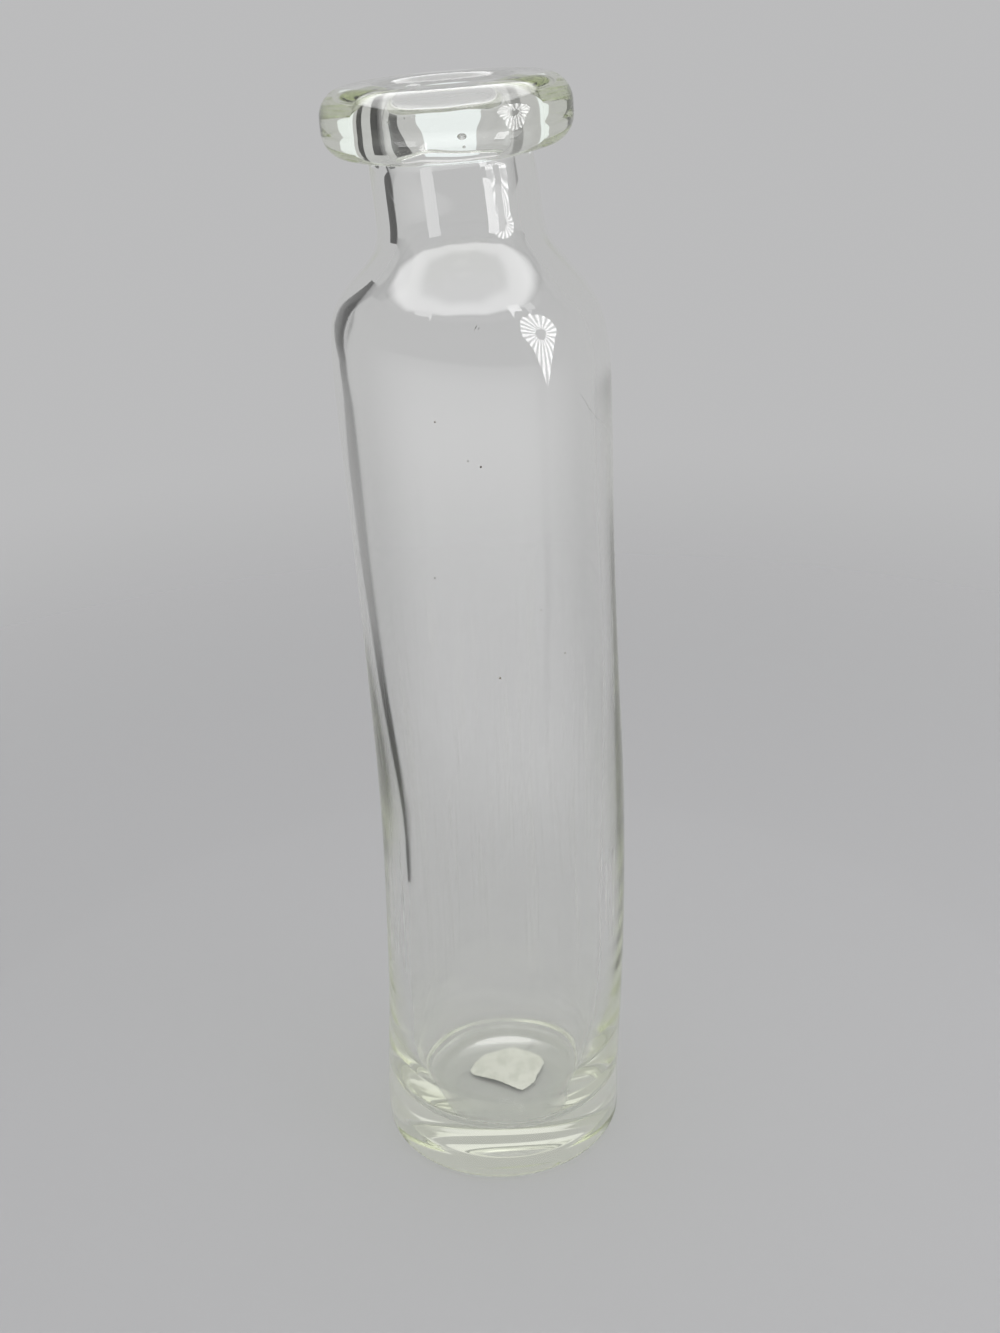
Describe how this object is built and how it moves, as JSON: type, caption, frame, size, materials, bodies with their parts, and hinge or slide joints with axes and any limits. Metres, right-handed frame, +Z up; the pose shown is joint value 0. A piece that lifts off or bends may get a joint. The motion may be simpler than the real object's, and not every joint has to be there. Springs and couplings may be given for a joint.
{
  "type": "bottle vase",
  "caption": "Tall hand-blown clear glass bottle vase with a heavy base, short neck and thick rolled collar lip.",
  "frame": {"origin": "centre of the foot, on the surface that the vase stands on", "axes": "+Z up along the vase's height; the upper body, neck and lip lean towards -X; the viewer of the picture stands at -Y"},
  "size_m": [0.0776, 0.075, 0.3189],
  "materials": {
    "clear_glass": "fire-polished, clear with a slight olive tint in thick edges",
    "label_paper": "torn matt white paper with glue residue"
  },
  "bodies": {
    "root": {"bottle_body": "clear_glass", "lip_collar": "clear_glass", "label_remnant": "label_paper"}
  },
  "joints": []
}
